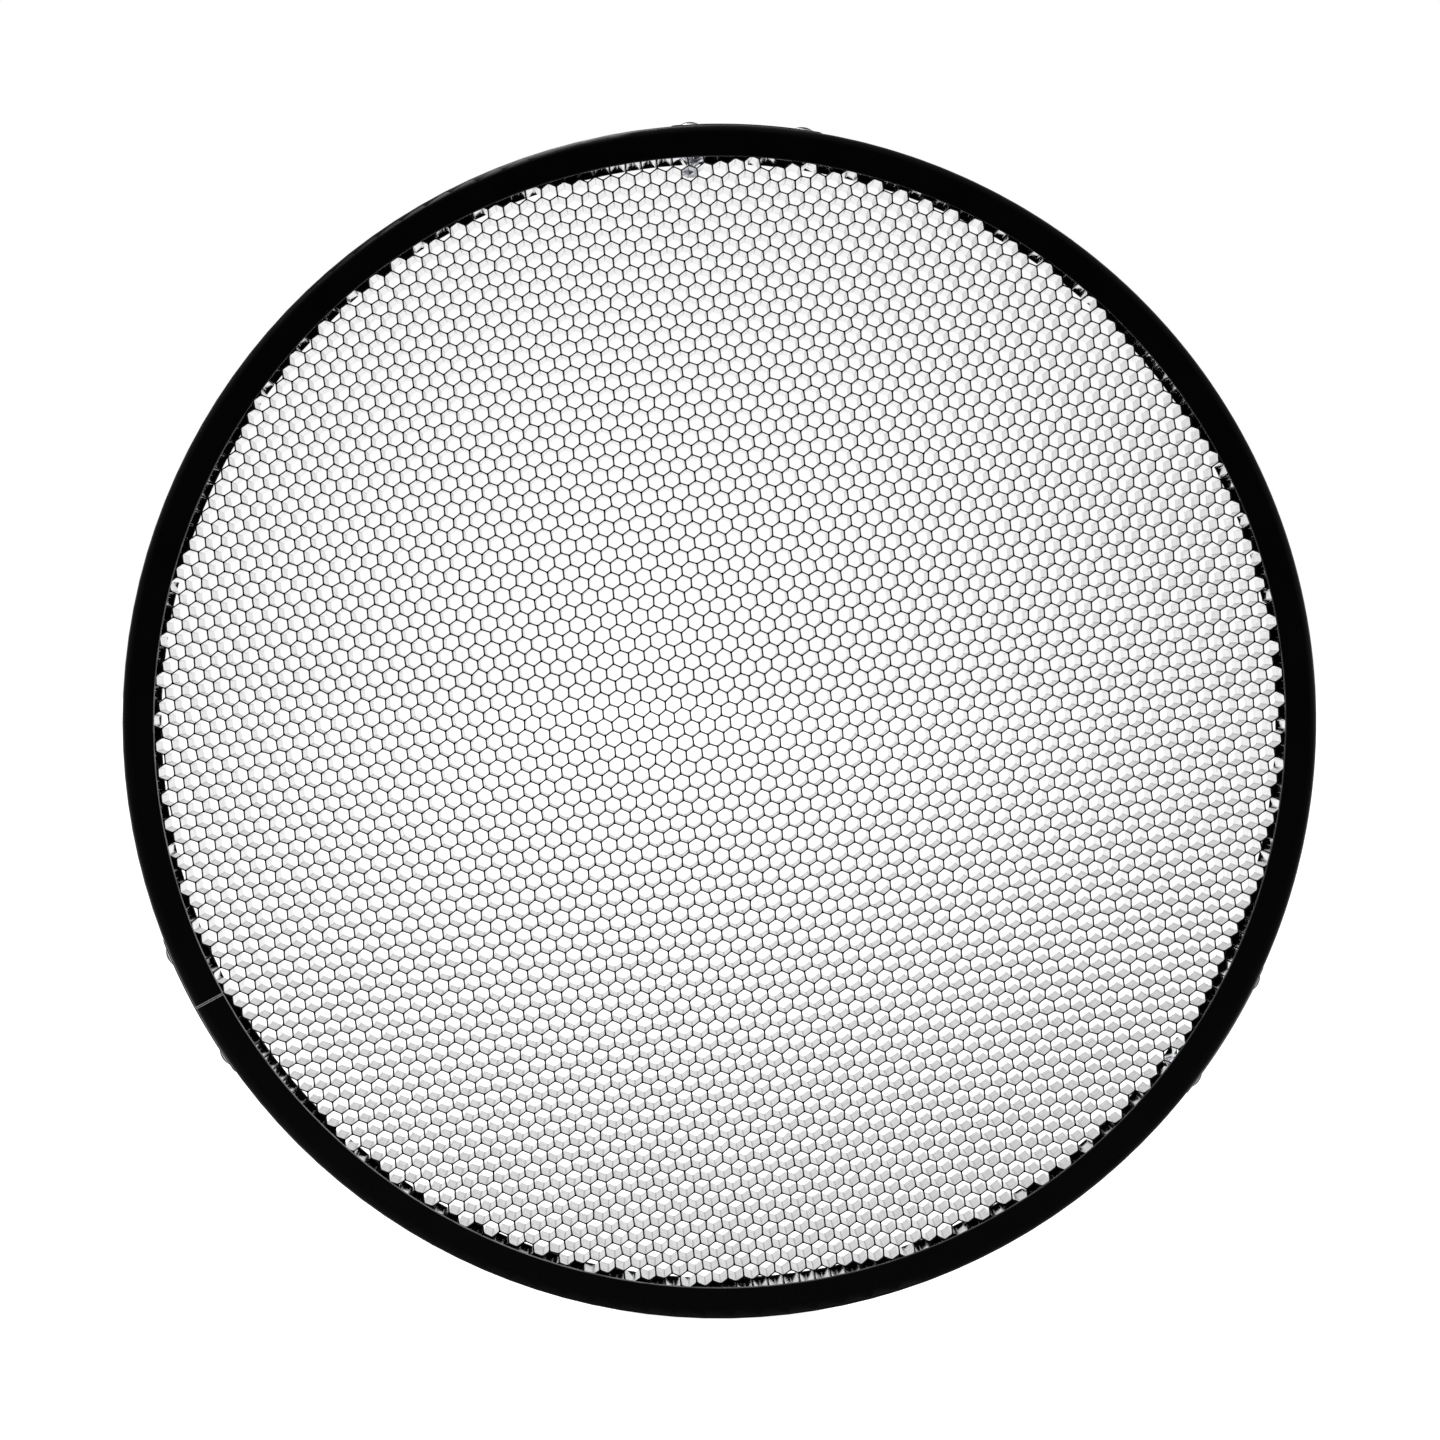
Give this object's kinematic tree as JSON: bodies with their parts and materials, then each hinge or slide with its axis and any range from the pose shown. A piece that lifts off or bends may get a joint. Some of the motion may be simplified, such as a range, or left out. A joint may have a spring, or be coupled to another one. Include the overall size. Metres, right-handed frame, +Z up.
{
  "type": "honeycomb grid for a studio reflector",
  "caption": "Round honeycomb grid for a studio reflector: a black rolled ring holds an aluminium foil core, with spring clips that grip the reflector's rim.",
  "frame": {"origin": "centre of the ring on its rear face, where the reflector's rim seats", "axes": "+Y along the ring's axis, to the rear and towards the lamp; -Y is the front that faces the subject; +Z up, with the first clip near the top"},
  "size_m": [0.5, 0.044, 0.5023],
  "materials": {
    "ring_paint": "matte black powder coat",
    "foil": "bare mill foil",
    "spring_steel": "dark tempered spring steel",
    "rivet_aluminium": "black anodised dome",
    "mandrel_steel": "zinc plated steel"
  },
  "bodies": {
    "root": {"ring_channel": "ring_paint", "honeycomb_core": "foil", "clip_base_1": "spring_steel", "clip_base_2": "spring_steel", "clip_base_3": "spring_steel", "rivet_1": "rivet_aluminium", "rivet_2": "rivet_aluminium", "rivet_3": "rivet_aluminium", "rivet_4": "rivet_aluminium", "rivet_5": "rivet_aluminium", "rivet_6": "rivet_aluminium", "mandrel_1": "mandrel_steel", "mandrel_2": "mandrel_steel", "mandrel_3": "mandrel_steel", "mandrel_4": "mandrel_steel", "mandrel_5": "mandrel_steel", "mandrel_6": "mandrel_steel"},
    "tongue_1": {"clip_tongue_1": "spring_steel"},
    "tongue_2": {"clip_tongue_2": "spring_steel"},
    "tongue_3": {"clip_tongue_3": "spring_steel"}
  },
  "joints": [
    {"name": "clip_1_flex", "type": "hinge", "parent": "root", "child": "tongue_1", "pos_m": [0.01093, -0.0026, 0.25026], "axis": [0.999, 0, -0.0436], "range_deg": [0, 10], "stiffness_Nm_per_rad": 1.5},
    {"name": "clip_2_flex", "type": "hinge", "parent": "root", "child": "tongue_2", "pos_m": [0.21381, -0.0026, -0.13051], "axis": [-0.521, 0, -0.8536], "range_deg": [0, 10], "stiffness_Nm_per_rad": 1.5},
    {"name": "clip_3_flex", "type": "hinge", "parent": "root", "child": "tongue_3", "pos_m": [-0.22014, -0.0026, -0.11953], "axis": [-0.4772, 0, 0.8788], "range_deg": [0, 10], "stiffness_Nm_per_rad": 1.5}
  ]
}
